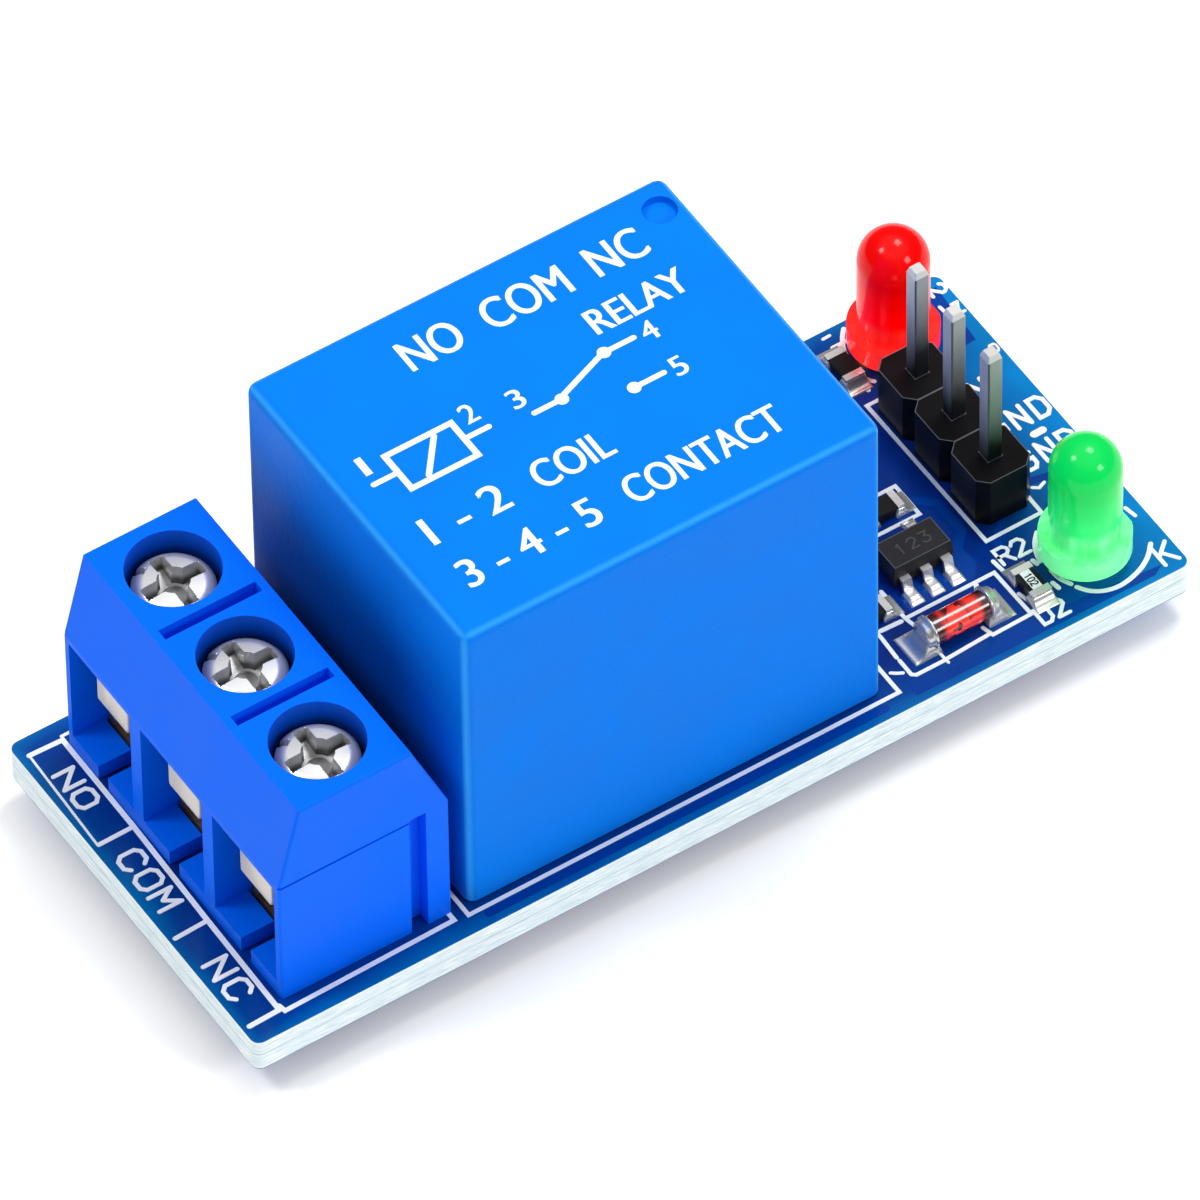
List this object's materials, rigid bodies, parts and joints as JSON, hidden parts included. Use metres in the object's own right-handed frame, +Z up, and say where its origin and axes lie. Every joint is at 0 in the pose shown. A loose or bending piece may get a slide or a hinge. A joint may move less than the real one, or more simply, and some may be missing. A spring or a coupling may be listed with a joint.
{
  "type": "relay module board",
  "caption": "Blue board with a box relay, a three-way screw terminal block, a three-pin header, a red and a green lamp and small surface-mount parts.",
  "frame": {"origin": "middle of the board seen from above, at the level of the trimmed lead ends that it stands on", "axes": "+X along the board from the terminal block to the pin header, +Y across the board to the side of the red lamp, +Z up from the solder side to the relay's roof"},
  "size_m": [0.043, 0.0176, 0.019],
  "materials": {
    "board": "glossy blue solder mask over glass-epoxy laminate",
    "solder": "bright tin solder",
    "terminal_blue": "moulded satin blue plastic",
    "cage": "dull plated brass strip",
    "guard": "plated spring strip",
    "screw": "bright zinc plate",
    "relay_blue": "fine matt blue plastic",
    "relay_base": "dark moulded plastic",
    "bobbin": "off-white moulded plastic",
    "winding": "enamelled copper wire",
    "iron": "plated soft iron",
    "contact_strip": "copper alloy strip",
    "contact_silver": "silver alloy rivet",
    "header_black": "black moulded plastic",
    "pin": "bright tin plate",
    "red_lens": "clear red cast resin",
    "green_lens": "clear green cast resin",
    "lead": "tinned steel",
    "chip": "black moulded plastic",
    "diode_glass": "amber red glass",
    "resistor": "black coated ceramic"
  },
  "bodies": {
    "root": {"bias_resistor_body": "resistor", "bias_resistor_ends": "lead", "chip_body": "chip", "chip_leads": "lead", "circuit_board": "board", "diode_caps": "pin", "diode_glass": "diode_glass", "green_lamp_leads": "lead", "green_lamp_lens": "green_lens", "green_lamp_resistor_body": "resistor", "green_lamp_resistor_ends": "lead", "header_housing": "header_black", "header_pin_1": "pin", "header_pin_2": "pin", "header_pin_3": "pin", "input_resistor_body": "resistor", "input_resistor_ends": "lead", "red_lamp_leads": "lead", "red_lamp_lens": "red_lens", "red_lamp_resistor_body": "resistor", "red_lamp_resistor_ends": "lead", "relay_base": "relay_base", "relay_bobbin": "bobbin", "relay_case": "relay_blue", "relay_closed_contact": "contact_strip", "relay_coil": "winding", "relay_coil_pins": "lead", "relay_common": "contact_strip", "relay_core": "iron", "relay_open_contact": "contact_strip", "relay_yoke": "iron", "solder_joints": "solder", "terminal_cage_1": "cage", "terminal_cage_2": "cage", "terminal_cage_3": "cage", "terminal_housing": "terminal_blue"},
    "guard_1": {"wire_guard_1": "guard"},
    "screw_1": {"terminal_screw_1": "screw"},
    "guard_2": {"wire_guard_2": "guard"},
    "screw_2": {"terminal_screw_2": "screw"},
    "guard_3": {"wire_guard_3": "guard"},
    "screw_3": {"terminal_screw_3": "screw"},
    "armature": {"relay_armature": "iron", "relay_spring": "contact_strip", "relay_moving_contact": "contact_silver"}
  },
  "joints": [
    {"name": "guard_slide_1", "type": "slide", "parent": "root", "child": "guard_1", "axis": [0, 0, -1], "range_m": [0, 0.00175]},
    {"name": "screw_turn_1", "type": "hinge", "parent": "guard_1", "child": "screw_1", "pos_m": [-0.01596, 0.00518, 0.011], "axis": [0, 0, -1], "range_deg": [0, 1260]},
    {"name": "guard_slide_2", "type": "slide", "parent": "root", "child": "guard_2", "axis": [0, 0, -1], "range_m": [0, 0.00175]},
    {"name": "screw_turn_2", "type": "hinge", "parent": "guard_2", "child": "screw_2", "pos_m": [-0.01596, 0.0001, 0.011], "axis": [0, 0, -1], "range_deg": [0, 1260]},
    {"name": "guard_slide_3", "type": "slide", "parent": "root", "child": "guard_3", "axis": [0, 0, -1], "range_m": [0, 0.00175]},
    {"name": "screw_turn_3", "type": "hinge", "parent": "guard_3", "child": "screw_3", "pos_m": [-0.01596, -0.00498, 0.011], "axis": [0, 0, -1], "range_deg": [0, 1260]},
    {"name": "armature_tilt", "type": "hinge", "parent": "root", "child": "armature", "pos_m": [0.0054, 0, 0.01469], "axis": [0, 1, 0], "range_deg": [-2.05, 0], "stiffness_Nm_per_rad": 0.01, "springref_deg": 1.15}
  ],
  "couplings": [
    {"joint": "screw_turn_1", "follows": "guard_slide_1", "rad_per_m": 12566},
    {"joint": "screw_turn_2", "follows": "guard_slide_2", "rad_per_m": 12566},
    {"joint": "screw_turn_3", "follows": "guard_slide_3", "rad_per_m": 12566}
  ]
}
